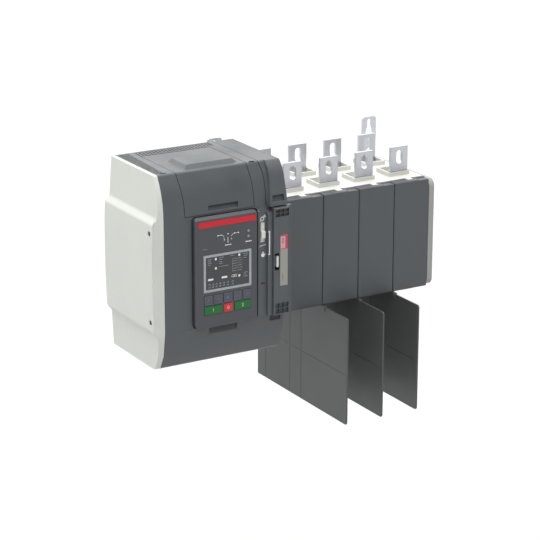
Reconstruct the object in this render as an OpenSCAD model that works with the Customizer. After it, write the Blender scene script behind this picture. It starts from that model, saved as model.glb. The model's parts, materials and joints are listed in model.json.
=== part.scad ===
// Four-pole automatic transfer switch: two stacked rows of switch poles, a motor
// mechanism with its control panel on the left, and phase barriers below.
// +X runs along the poles, away from the mechanism. +Y points back, into the wall. +Z is up.
// The origin is the centre of the four wall slots, on the wall plane.

/* [Pole block] */
// Distance between neighbouring poles
pole_pitch = 65; // [62:0.5:68]
// Height of the pole housings
block_h = 177; // [172:1:184]
// Depth of the two stacked switch rows with their front covers
block_d = 200; // [198:1:206]
// Depth of each pole's front cover
cover_d = 19; // [14:1:22]
// Thickness of the end plates
end_plate_t = 10; // [8:1:12]

/* [Terminals] */
// Width of a terminal bar
bar_w = 32; // [28:1:36]
// Thickness of a terminal bar
bar_t = 5; // [4:0.5:6]
// Height of a terminal bar's tip above the block
bar_out = 47; // [45:1:52]
// Width of the bolt slot in each terminal
bar_slot_w = 11; // [9:0.5:13]
// Length of the bolt slot in each terminal
bar_slot_len = 21.5; // [18:0.5:24]
// Height of the shroud around each terminal above the block
collar_h = 7; // [5:1:9]

/* [Wall feet] */
// Distance between the left and right wall slots
slot_span_x = 290; // [288:1:292]
// Distance between the upper and lower wall slots
slot_span_z = 249; // [246:1:252]
// Width of a mounting foot
foot_w = 27; // [26:1:30]
// Thickness of a mounting foot
foot_t = 3; // [2:0.5:4]
// Width of the wall slots
wall_slot_w = 7; // [6:0.5:8]
// Diameter of the wider part of each wall slot, for the screw head
wall_head_d = 13; // [12:0.5:15]

/* [Phase barriers] */
// Thickness of a phase barrier
barrier_t = 2.6; // [2:0.1:3.2]
// How far the barriers stand out in front of the block
barrier_front = 70.7; // [50:0.1:80]
// Depth below the block at which the barriers end
barrier_drop = 175.2; // [120:0.1:190]

/* [Mechanism box] */
// Left edge of the front cover
box_left = -395; // [-397:1:-393]
// Right edge of the front cover
box_right = -199; // [-200:0.5:-198]
// Top of the box
box_top = 184; // [183:0.5:185]
// Underside of the box
box_bottom = -104; // [-106:1:-102]
// Flat front of the box
box_front = -306; // [-307:0.5:-305]
// Back of the box
box_back = -156; // [-158:1:-155]
// Wall thickness of the plastic covers
shell = 3; // [2.5:0.5:3.5]

/* [Control panel] */
// Width of the control panel
hmi_w = 102; // [101:0.5:102.5]
// Height of the control panel
hmi_h = 164; // [162:1:165]
// How far the panel stands out from the box
hmi_proud = 6; // [5:0.5:8]
// Travel of a panel key
key_travel = 0.8; // [0.5:0.1:1]
// Gap around each key
key_gap = 0.35; // [0.3:0.05:0.5]

/* [Hidden] */
$fn = 32;
eps = 0.01;
POLES = [1, 2, 3, 4];
SOFT_KEYS = [1, 2, 3, 4, 5];

// Pole block
half_h = block_h / 2;
block_w = 4 * pole_pitch;
seam = 0.2;                          // each housing stops this far short of its pitch line
housing_wall = 3;
roof_t = 6.5;
tab_x = [31.4, 42];                  // tab that shows in the top edge of each cover
back_t = 6;
row_d = 92;                          // depth of one switch row
row_front = [-block_d, -block_d + row_d];
rotor_y = [row_front[0] + row_d / 2, row_front[1] + row_d / 2];
bar_y = [rotor_y[0] - 6, rotor_y[1] - 6];
load_bar_y = bar_y[1];
bar_tip_z = half_h + bar_out;
bar_hole_z = bar_tip_z - 16.7;
collar_w = 38;
collar_y = [[-164, -126], [-95, -57]];
rotor_r = 14;
rotor_hole_r = 17;
journal_r = 12;
running_gap = 0.05;                  // radial clearance of every bearing
blade_len = 68;
blade_t = 4.8;
blade_w = 20;
contact_gap = 0.4;
half_throw = 45;                     // rotor angle from the off position to closed
foot_tip_z = 145;
foot_head_z = 119;                   // middle of the wide part of each wall slot
rod_r = 3;
rod_yz = [[-172, 74], [-172, -74], [-14, 74], [-14, -74]];

// Mechanism
gear_m = 2.3;                        // millimetres of pitch diameter for each tooth
rotor_teeth = 40;
drive_teeth = 20;
motor_teeth = 10;
gear_x = [-176, -164];               // rotor gears and the drive shaft's pinion
input_gear_x = [-252, -238];
drive_angle = 117;                   // the drive shaft sits on a tooth of the front rotor gear
drive_dist = (rotor_teeth + drive_teeth) * gear_m / 2;
drive_y = rotor_y[0] + drive_dist * cos(drive_angle);
drive_z = drive_dist * sin(drive_angle);
motor_y = drive_y - (drive_teeth + motor_teeth) * gear_m / 2;
drive_r = 8;
drive_end_r = 6;
motor_shaft_r = 4;
bracket_x = [-262, -258.5];
sheet = 3;
inner_right = box_right - shell;     // inside of the covers' right end wall

// Box
lid_x = [-366.5, -252.2];            // edges of the hinged cover where it meets the top
lid_edge = [[-361.5, 122], [-362.5, 145], [-364.5, 166], [lid_x[0], 181], [lid_x[0], 200]];
lid_edge_r = [[lid_x[1], 200], [lid_x[1], 181], [-250, 160], [-248.4, 122]];
lid_gap = 0.4;
lid_back = -181.5;
hinge_r = 2.5;
hinge_pin_r = 1.2;
hinge_y = lid_back - hinge_r;
hinge_z = box_top - hinge_r;
pin_reach = 3.9;                     // hinge pins stand out this far at both ends
lug_w = 5.4;
cap_edge = [[-229.4, 121], [-229.4, 168], [-232.9, 183], [-232.9, 200]];
cap_flank = [-229.4, -305, 121];     // lower end of the cap's sloping left flank
cap_flank_turn = -80;                // its direction in plan and its lean
cap_flank_lean = -7.7;
grille_x = [-367, -243];
grille_y = [-179.5, -160];
side_x = box_left - 6;               // outer face of the side cover
side_bulge_x = side_x - 12;          // face of its raised middle, at its edges
side_swell = 1.8;                    // how far that face swells at half height
side_lean = 4.6;                     // how far the wall above and below leans out towards it
screw_y = -296;
screw_z = [-28, 103.5];

// Control panel
hmi_x = [-349.5, -349.5 + hmi_w];
hmi_z = [-44.5, -44.5 + hmi_h];
hmi_face = box_front - hmi_proud;
hmi_back = -291;
hmi_plate_t = 2.5;
hmi_corner = 6;
panel_gap = 1.2;                     // between the panel and its opening
window_x = [-335.4, -257];
window_z = [7.5, 63];
soft_key_w = 12.6;
soft_key_z = [-11.5, 2.5];
soft_key_pitch = 15.9;
soft_key_x0 = -334.6;
key_row_z = [-26, -13.6];
key_x = [[-334.6, -306], [-302.6, -288.5], [-285, -258.4]];
key_proud = key_travel - 0.1;
key_flange = 0.8;
band_x = [-343, -249.5];
band_z = [104, 112.5];

// Selector, locking clip and position pointer
bezel_x = [-244.2, -222.2];
bezel_z = [-44, 117.3];
bezel_face = box_front - 3;
step_x = -229.9;                     // right of this line the bezel stands out further
step_face = bezel_face - 4;
slot_x = [-239.7, -232.6];
slot_z = [67.7, 98];
knob_z = [74.5, 85];
slider_up = 10;
slider_down = 6;
chamber_z = [49, 116];               // space the slider's plate moves in
clip_x = [-238.6, -233.2];
clip_z = 5.5;
clip_t = 1.6;
module_x = [-222, -196];
module_z = [-44, 120];
module_face = -317;
pointer_slot_x = [-220.6, -212.9];
pointer_slot_z = [24, 50.2];
pointer_x = [-216.9, -213.6];
pointer_z = [29, 45.2];
label_x = [-211.5, -198.9];
label_z = [0, 76.8];

function numbered(base, numbers) = [for (k = numbers) str(base, "_", k)];

// ---- Shared shapes ----

// Range widened by g at both ends
function grown(range, g) = [range[0] - g, range[1] + g];

// Points of an arc about [cx, cy] from angle a0 to a1
function arc(cx, cy, r, a0, a1, n = 6) =
    [for (i = [0:n]) let (a = a0 + (a1 - a0) * i / n) [cx + r * cos(a), cy + r * sin(a)]];

// Corner points of a rectangle with round corners
function round_rect(x, y, r) = concat(
    arc(x[1] - r, y[1] - r, r, 0, 90), arc(x[0] + r, y[1] - r, r, 90, 180),
    arc(x[0] + r, y[0] + r, r, 180, 270), arc(x[1] - r, y[0] + r, r, 270, 360));

// Prisms along each axis: their points are [y, z], [x, z] and [x, y]
module prism_x(x, points) {
    translate([x[0], 0, 0]) rotate([90, 0, 90]) linear_extrude(x[1] - x[0]) polygon(points);
}
module prism_y(y, points) {
    translate([0, y[1], 0]) rotate([90, 0, 0]) linear_extrude(y[1] - y[0]) polygon(points);
}
module prism_z(z, points) {
    translate([0, 0, z[0]]) linear_extrude(z[1] - z[0]) polygon(points);
}

// Box and rods given by their end coordinates
module block(x, y, z) {
    translate([x[0], y[0], z[0]]) cube([x[1] - x[0], y[1] - y[0], z[1] - z[0]]);
}
module rod_x(x, y, z, r) {
    translate([x[0], y, z]) rotate([0, 90, 0]) cylinder(h = x[1] - x[0], r = r);
}
module rod_y(y, x, z, r) {
    translate([x, y[1], z]) rotate([90, 0, 0]) cylinder(h = y[1] - y[0], r = r);
}
module rod_z(z, x, y, r) {
    translate([x, y, z[0]]) cylinder(h = z[1] - z[0], r = r);
}

// Upright slot cut along Y, with true round ends
module slot_y(y, x, z_mid, width, length) {
    r = width / 2;
    reach = length / 2 - r;
    rod_y(y, x, z_mid + reach, r);
    rod_y(y, x, z_mid - reach, r);
    block([x - r, x + r], y, [z_mid - reach, z_mid + reach]);
}

// Spur gear tooth by tooth: the flanks are straight, with backlash cut from both sides
function polar(r, off, a) = let (b = a + asin(off / r)) [r * cos(b), r * sin(b)];
function gear_points(teeth, phase, root_flank) =
    let (r = teeth * gear_m / 2, half = 1.5, tip = 0.8 * gear_m, root = 1.1 * gear_m,
         tip_half = half - tip * tan(20), root_half = half + root * tan(root_flank))
    [for (i = [0:teeth - 1]) let (a = phase + 360 * i / teeth)
        each [polar(r - root, -root_half, a), polar(r, -half, a), polar(r + tip, -tip_half, a),
              polar(r + tip, tip_half, a), polar(r, half, a), polar(r - root, root_half, a)]];
module gear(x, y, z, teeth, phase, root_flank) {
    translate([0, y, z]) prism_x(x, gear_points(teeth, phase, root_flank));
}

// X range of pole k, and the middle of it
function pole_x(k) = let (x = -block_w / 2 + (k - 1) * pole_pitch) [x + seam, x + pole_pitch - seam];
function pole_mid(k) = -block_w / 2 + (k - 0.5) * pole_pitch;

// ---- Pole block ----

module terminal_shroud(x, y, z) {
    difference() {
        block([x - collar_w / 2, x + collar_w / 2], y, z);
        block([x - collar_w / 2 + 3, x + collar_w / 2 - 3], [y[0] + 3, y[1] - 3], [z[0] - 1, z[1] + 1]);
    }
}

module pole_housing(k) {
    x = pole_x(k);
    mid = pole_mid(k);
    front = -block_d + cover_d;
    color([0.90, 0.90, 0.87]) difference() {
        union() {
            block(x, [front, 0], [-half_h, half_h]);
            for (y = collar_y) terminal_shroud(mid, y, [half_h - eps, half_h + collar_h]);
            terminal_shroud(mid, collar_y[1], [-half_h - collar_h, -half_h + eps]);
            // Locating tab that shows through the notch in the cover
            block([x[0] + tab_x[0], x[0] + tab_x[1]], [front - 8, front + eps], [half_h - 2.4, half_h - 0.4]);
        }
        // Switching chambers, open at the front under the cover
        block([x[0] + housing_wall, x[1] - housing_wall], [front - eps, -110], [-half_h + roof_t, half_h - roof_t]);
        block([x[0] + housing_wall, x[1] - housing_wall], [-106, -back_t], [-half_h + roof_t, half_h - roof_t]);
        // Passage for the bar that links the two rows
        block([x[0] + housing_wall, x[1] - housing_wall], [-111, -105], [-half_h + roof_t, -50]);
        // Pockets inside the shrouds
        for (y = collar_y)
            block([mid - collar_w / 2 + 3, mid + collar_w / 2 - 3], [y[0] + 3, y[1] - 3], [half_h - 3, half_h + 1]);
        for (y = bar_y)
            block([mid - bar_w / 2 - 0.3, mid + bar_w / 2 + 0.3], [y - bar_t / 2 - 0.3, y + bar_t / 2 + 0.3],
                  [half_h - roof_t - 1, half_h + collar_h + 1]);
        block([mid - bar_w / 2 - 0.3, mid + bar_w / 2 + 0.3],
              [load_bar_y - bar_t / 2 - 0.3, load_bar_y + bar_t / 2 + 0.3],
              [-half_h - collar_h - 1, -half_h + roof_t + 1]);
        for (y = rotor_y) rod_x([x[0] - 1, x[1] + 1], y, 0, rotor_hole_r);
        for (p = rod_yz) rod_x([x[0] - 1, x[1] + 1], p[0], p[1], rod_r + 0.1);
        // Joint line between the two rows
        block([x[0] - 1, x[1] + 1], [row_front[1] - 0.5, row_front[1] + 0.5], [half_h - 1, half_h + 1]);
        block([x[0] - 1, x[1] + 1], [row_front[1] - 0.5, row_front[1] + 0.5], [-half_h - 1, -half_h + 1]);
    }
}

module pole_cover(k) {
    x = pole_x(k);
    y = [-block_d, -block_d + cover_d];
    r = 2.5;
    color([0.30, 0.31, 0.32]) difference() {
        intersection() {
            prism_z([-half_h, half_h], concat([[x[1], y[1]], [x[0], y[1]]],
                arc(x[0] + r, y[0] + r, r, 180, 270), arc(x[1] - r, y[0] + r, r, 270, 360)));
            prism_x(x, concat([[y[1], -half_h], [y[1], half_h]],
                arc(y[0] + r, half_h - r, r, 90, 180), arc(y[0] + r, -half_h + r, r, 180, 270)));
        }
        block([x[0] + 2.5, x[1] - 2.5], [y[0] + 3, y[1] + 1], [-half_h + 2.5, half_h - 2.5]);
        // Notches for the locating tabs
        block([x[0] + tab_x[0] - 0.4, x[0] + tab_x[1] + 0.4], [y[1] - 9, y[1] + 1], [half_h - 3, half_h + 1]);
        block([x[0] + 24, x[0] + 36], [y[0] - 1, y[0] + 1.2], [-half_h - 1, -half_h + 3]);
        // The top edge steps down on the right
        block([x[0] + 46, x[1] + 1], [y[0] - 1, y[1] - 6], [half_h - 1.2, half_h + 1]);
    }
}

// Source terminal: a thicker lug outside, a thinner bar and a contact pad inside
module source_terminal(k, row) {
    x = pole_mid(k);
    y = bar_y[row];
    color([0.74, 0.75, 0.77]) difference() {
        union() {
            block([x - bar_w / 2, x + bar_w / 2], [y - bar_t / 2, y + bar_t / 2], [half_h + collar_h + 0.5, bar_tip_z]);
            block([x - bar_w / 2 + 0.5, x + bar_w / 2 - 0.5], [y - bar_t / 2 + 0.2, y + bar_t / 2],
                  [26, half_h + collar_h + 1]);
            block([x - blade_w / 2, x + blade_w / 2], [y + bar_t / 2 - eps, rotor_y[row] - blade_t / 2 - contact_gap],
                  [26, 36]);
        }
        slot_y([y - bar_t, y + bar_t], x, bar_hole_z, bar_slot_w, bar_slot_len);
    }
}

// Load terminal: one bar serves both rows, so either source feeds it
module load_terminal(x) {
    leg_y = [for (y = rotor_y) y + blade_t / 2 + contact_gap + 0.7];
    link_z = [-66, -61];
    wide = [x - bar_w / 2, x + bar_w / 2];
    difference() {
        union() {
            for (row = [0, 1]) {
                block(wide, [leg_y[row], leg_y[row] + bar_t], [link_z[0], -26]);
                block([x - blade_w / 2, x + blade_w / 2], [leg_y[row] - 0.7, leg_y[row] + eps], [-36, -26]);
            }
            block(wide, [leg_y[0], leg_y[1] + bar_t], link_z);
            block([wide[0] + 0.5, wide[1] - 0.5], [load_bar_y - bar_t / 2 + 0.2, load_bar_y + bar_t / 2],
                  [-half_h - collar_h - 1, link_z[0] + eps]);
            block(wide, [load_bar_y - bar_t / 2, load_bar_y + bar_t / 2], [-bar_tip_z, -half_h - collar_h - 0.5]);
        }
        slot_y([load_bar_y - bar_t, load_bar_y + bar_t], x, -bar_hole_z, bar_slot_w, bar_slot_len);
    }
}
module load_terminals() {
    color([0.74, 0.75, 0.77]) for (k = POLES) load_terminal(pole_mid(k));
}

// Side is -1 for the left plate, whose bearings are open, and 1 for the right one
module end_plate(side) {
    r = 12;
    inner = side * block_w / 2;
    x = side < 0 ? [inner - end_plate_t, inner] : [inner, inner + end_plate_t];
    bore_x = side < 0 ? [x[0] - 1, x[1] + 1] : [x[0] - 1, x[1] - 1.5];
    color([0.86, 0.87, 0.84]) difference() {
        prism_x(x, concat([[0, -half_h], [0, half_h - 2.5]],
            arc(-block_d + r, half_h - 2.5 - r, r, 90, 180), arc(-block_d + r, -half_h + r, r, 180, 270)));
        for (y = rotor_y) rod_x(bore_x, y, 0, journal_r + running_gap);
        if (side < 0) rod_x([x[0] - 1, x[0] + 6], drive_y, drive_z, drive_end_r + running_gap);
        for (p = rod_yz) rod_x([x[0] - 1, x[1] + 1], p[0], p[1], rod_r + 0.1);
        // Seats for the tie rod nuts
        for (p = rod_yz) rod_x(side < 0 ? [x[0] - 1, x[0] + 4] : [x[1] - 4, x[1] + 1], p[0], p[1], 6.5);
        // Rebates that hold the feet
        for (z = [-1, 1]) block([x[0] - 1, x[1] + 1], [-foot_t, 1], z < 0 ? [-half_h - 1, -50] : [50, half_h]);
    }
}

module mounting_foot(sx, sz) {
    x = sx * slot_span_x / 2;
    z_mid = sz * slot_span_z / 2;
    z_tip = sz * foot_tip_z;
    head_z = sz * foot_head_z;
    x_in = x - sx * foot_w / 2;
    x_out = x + sx * foot_w / 2;
    neck = x_out - sx * 3.5;
    r = 5;
    outline = [[x_in, sz * 51], [neck, sz * 51], [neck, sz * 106], [x_out, sz * 112],
               [x_out, z_tip - sz * r], [x_out - sx * 1.5, z_tip - sz * 1.5], [x_out - sx * r, z_tip],
               [x_in + sx * r, z_tip], [x_in + sx * 1.5, z_tip - sz * 1.5], [x_in, z_tip - sz * r]];
    flare = [[x - 3.4, z_mid + sz * 6.5], [x + 3.4, z_mid + sz * 6.5],
             [x + 6.1, head_z + sz * 2], [x - 6.1, head_z + sz * 2]];
    difference() {
        prism_y([-foot_t, 0], outline);
        slot_y([-foot_t - 1, 1], x, z_mid, wall_slot_w, 33);
        rod_y([-foot_t - 1, 1], x, head_z, wall_head_d / 2);
        prism_y([-foot_t - 1, 1], flare);
    }
}
module mounting_feet() {
    color([0.76, 0.77, 0.78]) for (sx = [-1, 1], sz = [-1, 1]) mounting_foot(sx, sz);
}

module phase_barrier(k) {
    x0 = -block_w / 2 + k * pole_pitch + 0.4;
    x = [x0, x0 + barrier_t];
    front = -block_d - barrier_front;
    top = -half_h - 2.3;
    bottom = -half_h - barrier_drop;
    groove = 0.5;
    color([0.33, 0.34, 0.33]) difference() {
        union() {
            prism_x(x, concat([[-0.1, bottom], [-0.1, top]], arc(front + 4, top - 4, 4, 90, 180, 4),
                arc(front + 4, bottom + 4, 4, 180, 270, 4)));
            // Tongue that slides into the block, and the stop in front of it
            block([x[0], x[1]], [-178, -4], [top - eps, -half_h]);
            block([x[0] - 1.4, x[1] + 1.4], [-206, -192], [top - 6, top + 1.8]);
        }
        for (side = [x[0] - 1, x[1] - groove]) {
            for (y = [-136, -102, -26])
                block([side, side + 1 + groove], [y - 0.5, y + 0.5], [bottom - 1, top - 8]);
            block([side, side + 1 + groove], [front - 1, 1], [top - 92, top - 91]);
        }
    }
}

module tie_rods() {
    end = block_w / 2 + end_plate_t;
    color([0.70, 0.71, 0.72]) for (p = rod_yz) {
        rod_x([-end + 0.2, end - 0.2], p[0], p[1], rod_r);
        for (x = [[-end + 0.6, -end + 4], [end - 4, end - 0.6]])
            translate([x[0], p[0], p[1]]) rotate([0, 90, 0]) cylinder(h = x[1] - x[0], r = 6, $fn = 6);
    }
}

// Stacks of splitter plates beside each opening contact
module arc_chutes() {
    plates = 5;
    color([0.62, 0.63, 0.64]) for (k = POLES, row = [0, 1], i = [0:plates - 1]) {
        x = pole_mid(k);
        y = rotor_y[row] + 2 + i * 5;
        block([x - 24, x + 24], [y, y + 1.5], [46, 76]);
    }
}

// ---- Rotors ----

module rotor(row) {
    y = rotor_y[row];
    left = -block_w / 2;
    right = block_w / 2;
    color([0.16, 0.16, 0.17]) difference() {
        union() {
            rod_x([left + 0.5, right - 0.5], y, 0, rotor_r);
            rod_x([gear_x[0] - 4, left + 1], y, 0, journal_r);
            rod_x([right - 1, right + end_plate_t - 2], y, 0, journal_r);
            gear([gear_x[0], gear_x[1]], y, 0, rotor_teeth, row == 0 ? 0 : 4.5, 14);
        }
        for (k = POLES) contact_blade(k, row, 0.02);
    }
}

// Blade that bridges the source pad above and the load pad below when it stands upright
module contact_blade(k, row, clearance) {
    translate([pole_mid(k), rotor_y[row], 0]) rotate([-half_throw, 0, 0])
        cube([blade_w + 2 * clearance, blade_t + 2 * clearance, blade_len + 2 * clearance], center = true);
}
module contacts(row) {
    color([0.80, 0.78, 0.74]) for (k = POLES) contact_blade(k, row, 0);
}

// ---- Mechanism ----

module gear_case() {
    x = [box_right, -block_w / 2 - end_plate_t];
    y = [-214, -8];
    z = [-56, 91];
    color([0.30, 0.31, 0.32]) difference() {
        block(x, y, z);
        block([x[0] + shell, x[1] + 1], [y[0] + shell, y[1] - shell], [z[0] + shell, z[1] - shell]);
        rod_x([x[0] - 1, x[0] + shell + 1], drive_y, drive_z, drive_r + running_gap);
    }
}

// Steel frame: back, right and left walls, the motor bracket and the shelf of the wiring bay
module chassis() {
    front = -270;
    color([0.70, 0.71, 0.72]) difference() {
        union() {
            block([box_left, inner_right], [box_back - sheet, box_back], [box_bottom + 3.5, box_top - 3.5]);
            for (x = [[box_left, box_left + sheet], [inner_right - sheet, inner_right]])
                block(x, [front, box_back - sheet + eps], [box_bottom + 3.5, box_top - 8]);
            block(bracket_x, [-250, box_back - sheet + eps], [20, 110]);
            block([box_left + sheet - eps, inner_right - sheet + eps], [-288, box_back - sheet + eps],
                  [124, 124 + sheet]);
        }
        rod_x([inner_right - sheet - 1, inner_right + 1], drive_y, drive_z, drive_r + running_gap);
        rod_x([bracket_x[0] - 1, bracket_x[1] + 1], drive_y, drive_z, drive_end_r + running_gap);
        rod_x([bracket_x[0] - 1, bracket_x[1] + 1], motor_y, drive_z, motor_shaft_r + 1);
    }
}

module motor() {
    x = [bracket_x[0] - 74, bracket_x[0]];
    r = 20;
    color([0.55, 0.56, 0.58]) difference() {
        union() {
            rod_x([x[0] + 6, x[1]], motor_y, drive_z, r);
            rod_x([x[0], x[0] + 7], motor_y, drive_z, 9);
        }
        rod_x([x[1] - 10, x[1] + 1], motor_y, drive_z, motor_shaft_r + running_gap);
    }
}

module motor_pinion() {
    color([0.72, 0.66, 0.45]) {
        rod_x([bracket_x[0] - 9, input_gear_x[1] + 2], motor_y, drive_z, motor_shaft_r);
        gear(input_gear_x, motor_y, drive_z, motor_teeth, 18, 0);
    }
}

module drive_shaft() {
    left = -block_w / 2 - end_plate_t;
    color([0.66, 0.67, 0.69]) {
        rod_x([bracket_x[1] + 0.5, left - 2], drive_y, drive_z, drive_r);
        rod_x([bracket_x[0] + 0.2, bracket_x[1] + 1], drive_y, drive_z, drive_end_r);
        rod_x([left - 3, left + 5.5], drive_y, drive_z, drive_end_r);
        gear(input_gear_x, drive_y, drive_z, drive_teeth, 0, 10);
        gear(gear_x, drive_y, drive_z, drive_teeth, 0, 10);
    }
}

module control_board() {
    y = [-262, -260.4];
    color([0.10, 0.35, 0.20]) {
        block([-386, -268], y, [-88, 28]);
        for (x = [-380, -352, -324]) block([x, x + 22], [y[0] - 16, y[0] + eps], [-30, 0]);
        for (x = [-378, -360, -342]) rod_y([y[0] - 20, y[0] + eps], x, -60, 7);
        block([-320, -276], [y[0] - 12, y[0] + eps], [-82, -66]);
    }
}

// Screw terminals for the control wiring, on the shelf under the hinged cover
module control_terminals() {
    x = [-352, -268];
    ways = 12;
    pitch = (x[1] - x[0]) / ways;
    z0 = 124 + sheet;
    color([0.15, 0.42, 0.25]) difference() {
        prism_x(x, [[-226, z0], [-200, z0], [-200, z0 + 24], [-214, z0 + 24], [-226, z0 + 12]]);
        for (i = [0:ways - 1]) {
            rod_z([z0 + 16, z0 + 25], x[0] + (i + 0.5) * pitch, -207, 2);
            block([x[0] + (i + 0.2) * pitch, x[0] + (i + 0.8) * pitch], [-227, -220], [z0 + 2, z0 + 7]);
        }
    }
}

// ---- Box covers ----

// Side outline of the box [y, z], drawn in by t
function box_outline(t) = concat(
    [[box_back + (t > 0 ? 1 : 0), box_top - t]],
    arc(box_front + 19.7, box_top - 4, 4 - t, 90, 150),
    [[box_front + 13.6 + t, box_top - 7.2], [box_front + 10.8 + t, box_top - 13],
     [box_front + 7.5 + t, box_top - 20.4], [box_front + 4.3 + t, box_top - 29.7],
     [box_front + 2 + t, box_top - 39.3], [box_front + 0.6 + t, box_top - 50], [box_front + t, 121],
     [box_front + t, -45], [box_front + 5.3 + t, -80.6]],
    arc(box_front + 22, box_bottom + 8, 8 - t, 205, 270),
    [[box_back + (t > 0 ? 1 : 0), box_bottom + t]]);

// Outline of the cap, which stands out further above the indicator module
function cap_outline(t) = concat(
    [[box_back + (t > 0 ? 1 : 0), box_top - t]],
    arc(-289.5, box_top - 5, 5 - t, 90, 140),
    [[-300 + t, 174.5], [-305.3 + t, 163.7], [-309.4 + t, 149.3], [-312.9 + t, 137],
     [module_face + 0.6 + t, 121 + (t > 0 ? -1 : 0)], [box_back + (t > 0 ? 1 : 0), 121 + (t > 0 ? -1 : 0)]]);

// Finger pocket in a front wall at y = face: deepest along its top edge
pocket_wall = 1.6;
module finger_pocket(x, z, face, depth) {
    prism_x(x, [[face - 12, z[0]], [face - 12, z[1]], [face + depth, z[1]], [face + depth * 0.45, z[0]]]);
}
// Thicker wall behind such a pocket
module pocket_boss(x, z, face, depth) {
    block(grown(x, pocket_wall), [face + 2, face + depth + pocket_wall], grown(z, pocket_wall));
}

module box_shell(x) {
    difference() {
        prism_x(x, box_outline(0));
        prism_x([x[0] - 1, x[1] + 1], box_outline(shell));
    }
}

// Region of the hinged wiring cover in the front view, grown by g
function lid_region(g) = concat([for (p = lid_edge) [p[0] - g, p[1] - (p[1] == 122 ? g : 0)]],
    [for (p = lid_edge_r) [p[0] + g, p[1] - (p[1] == 122 ? g : 0)]]);

module front_cover() {
    x = [box_left, box_right];
    pockets = [[[-323, -277], [-57, hmi_z[0] - 4]], [[-222, -204], [-55, -47]]];
    opening_x = [hmi_x[0] - panel_gap, bezel_x[0] + 0.5];
    vents = 24;
    vent_pitch = 5;
    color([0.31, 0.32, 0.33]) difference() {
        union() {
            box_shell(x);
            prism_x([inner_right, x[1]], box_outline(0));
            // Lugs for the hinge pins
            for (e = [lid_x[0] - lug_w - 0.6, lid_x[1] + 0.6])
                block([e, e + lug_w], [hinge_y - 5, hinge_y + 4.5], [box_top - 7, box_top - shell + eps]);
            for (p = pockets) pocket_boss(p[0], p[1], box_front, 5);
        }
        prism_y([-330, lid_back + 0.5], lid_region(0.3));
        prism_y([-330, box_back + 1],
                concat([for (p = cap_edge) [p[0] - lid_gap, p[1]]], [[x[1] + 1, 200], [x[1] + 1, 121]]));
        block(grille_x, grille_y, [box_top - 4, box_top + 1]);
        rod_x([inner_right - 1, x[1] + 1], drive_y, drive_z, drive_r + 3);
        // Vent slots along the side, in a field that narrows to the front
        for (i = [0:vents - 1]) let (y = -279 + i * vent_pitch)
            block([-393, -381 + 6 * i / vents], [y, y + 2.2], [box_top - 4, box_top + 1]);
        // Release notches beside the hinged cover
        block([-388, -378], [-284.5, -280.5], [box_top - 1.6, box_top + 1]);
        block([-246.5, -237.5], [-288.5, -284.5], [box_top - 4, box_top + 1]);
        // Openings behind the panel, the selector and the pointer
        prism_y([-330, -290], round_rect(opening_x, grown(hmi_z, panel_gap), hmi_corner));
        block([slot_x[0] - 2, slot_x[1] + 2], [-330, -290], [chamber_z[0] - 1, chamber_z[1] + 1]);
        block([clip_x[0] - 1, clip_x[1] + 1], [-330, -290], [clip_z - 2, clip_z + 2]);
        // Below the panel and below the indicator module
        for (p = pockets) finger_pocket(p[0], p[1], box_front, 5);
        for (e = lid_x) rod_x([e - 5, e + 5], hinge_y, hinge_z, hinge_pin_r + running_gap);
    }
}

module wiring_cover() {
    r = lid_region(-lid_gap);
    plinth_x = [-346, -261.5];
    plinth_y = [-277.5, -226];
    plinth_h = 5;
    pocket_x = [-323.5, -275];
    pocket_z = [126, 134];
    barrel_x = [lid_x[0] + lid_gap, lid_x[1] - lid_gap];
    color([0.31, 0.32, 0.33]) difference() {
        union() {
            intersection() {
                box_shell([box_left, box_right]);
                prism_y([-330, hinge_y], r);
            }
            rod_x(barrel_x, hinge_y, hinge_z, hinge_r);
            rod_x(grown(barrel_x, pin_reach), hinge_y, hinge_z, hinge_pin_r);
            pocket_boss(pocket_x, pocket_z, box_front, 6);
            // Raised field on the lid, with sloped sides
            intersection() {
                prism_y(plinth_y, [[plinth_x[0], box_top - 1], [plinth_x[0], box_top],
                    [plinth_x[0] + plinth_h, box_top + plinth_h], [plinth_x[1] - plinth_h, box_top + plinth_h],
                    [plinth_x[1], box_top], [plinth_x[1], box_top - 1]]);
                prism_x(plinth_x, [[plinth_y[0], box_top - 1], [plinth_y[0], box_top],
                    [plinth_y[0] + plinth_h, box_top + plinth_h], [plinth_y[1] - plinth_h, box_top + plinth_h],
                    [plinth_y[1], box_top], [plinth_y[1], box_top - 1]]);
            }
        }
        finger_pocket(pocket_x, pocket_z, box_front, 6);
    }
}

// Region of the cap in the front view, with its left and lower edges drawn in by g
function cap_region(g) = concat([for (p = cap_edge) [p[0] + lid_gap + g, p[1] + (p[1] == 121 ? lid_gap + g : 0)]],
    [[box_right, 200], [box_right, 121 + lid_gap + g]]);

// The cap is flush with the cover at its left edge and rises from there along a steep flank
module right_cap() {
    pocket_x = [-223, -204];
    pocket_z = [127, 136.6];
    pocket_face = -314;
    return_y = -289;                 // the cap's left and lower walls end here, before the frame
    color([0.31, 0.32, 0.33]) difference() {
        intersection() {
            prism_x([-240, box_right], cap_outline(0));
            prism_y([-330, box_back], cap_region(0));
        }
        difference() {
            translate(cap_flank) rotate([0, 0, cap_flank_turn]) rotate([cap_flank_lean, 0, 0])
                block([-40, 40], [-40, 0], [-5, 90]);
            prism_x([-300, box_right + 1], box_outline(0));
        }
        difference() {
            union() {
                intersection() {
                    prism_x([-241, inner_right], cap_outline(shell));
                    prism_y([-330, return_y + eps], cap_region(3 * shell));
                }
                intersection() {
                    prism_x([-241, inner_right], cap_outline(shell));
                    prism_y([return_y, box_back + 1], cap_region(-1));
                }
            }
            block([-230, box_right], [-320, pocket_face + 8], [120, 140]);
        }
        finger_pocket(pocket_x, pocket_z, pocket_face, 6);
    }
}

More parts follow.
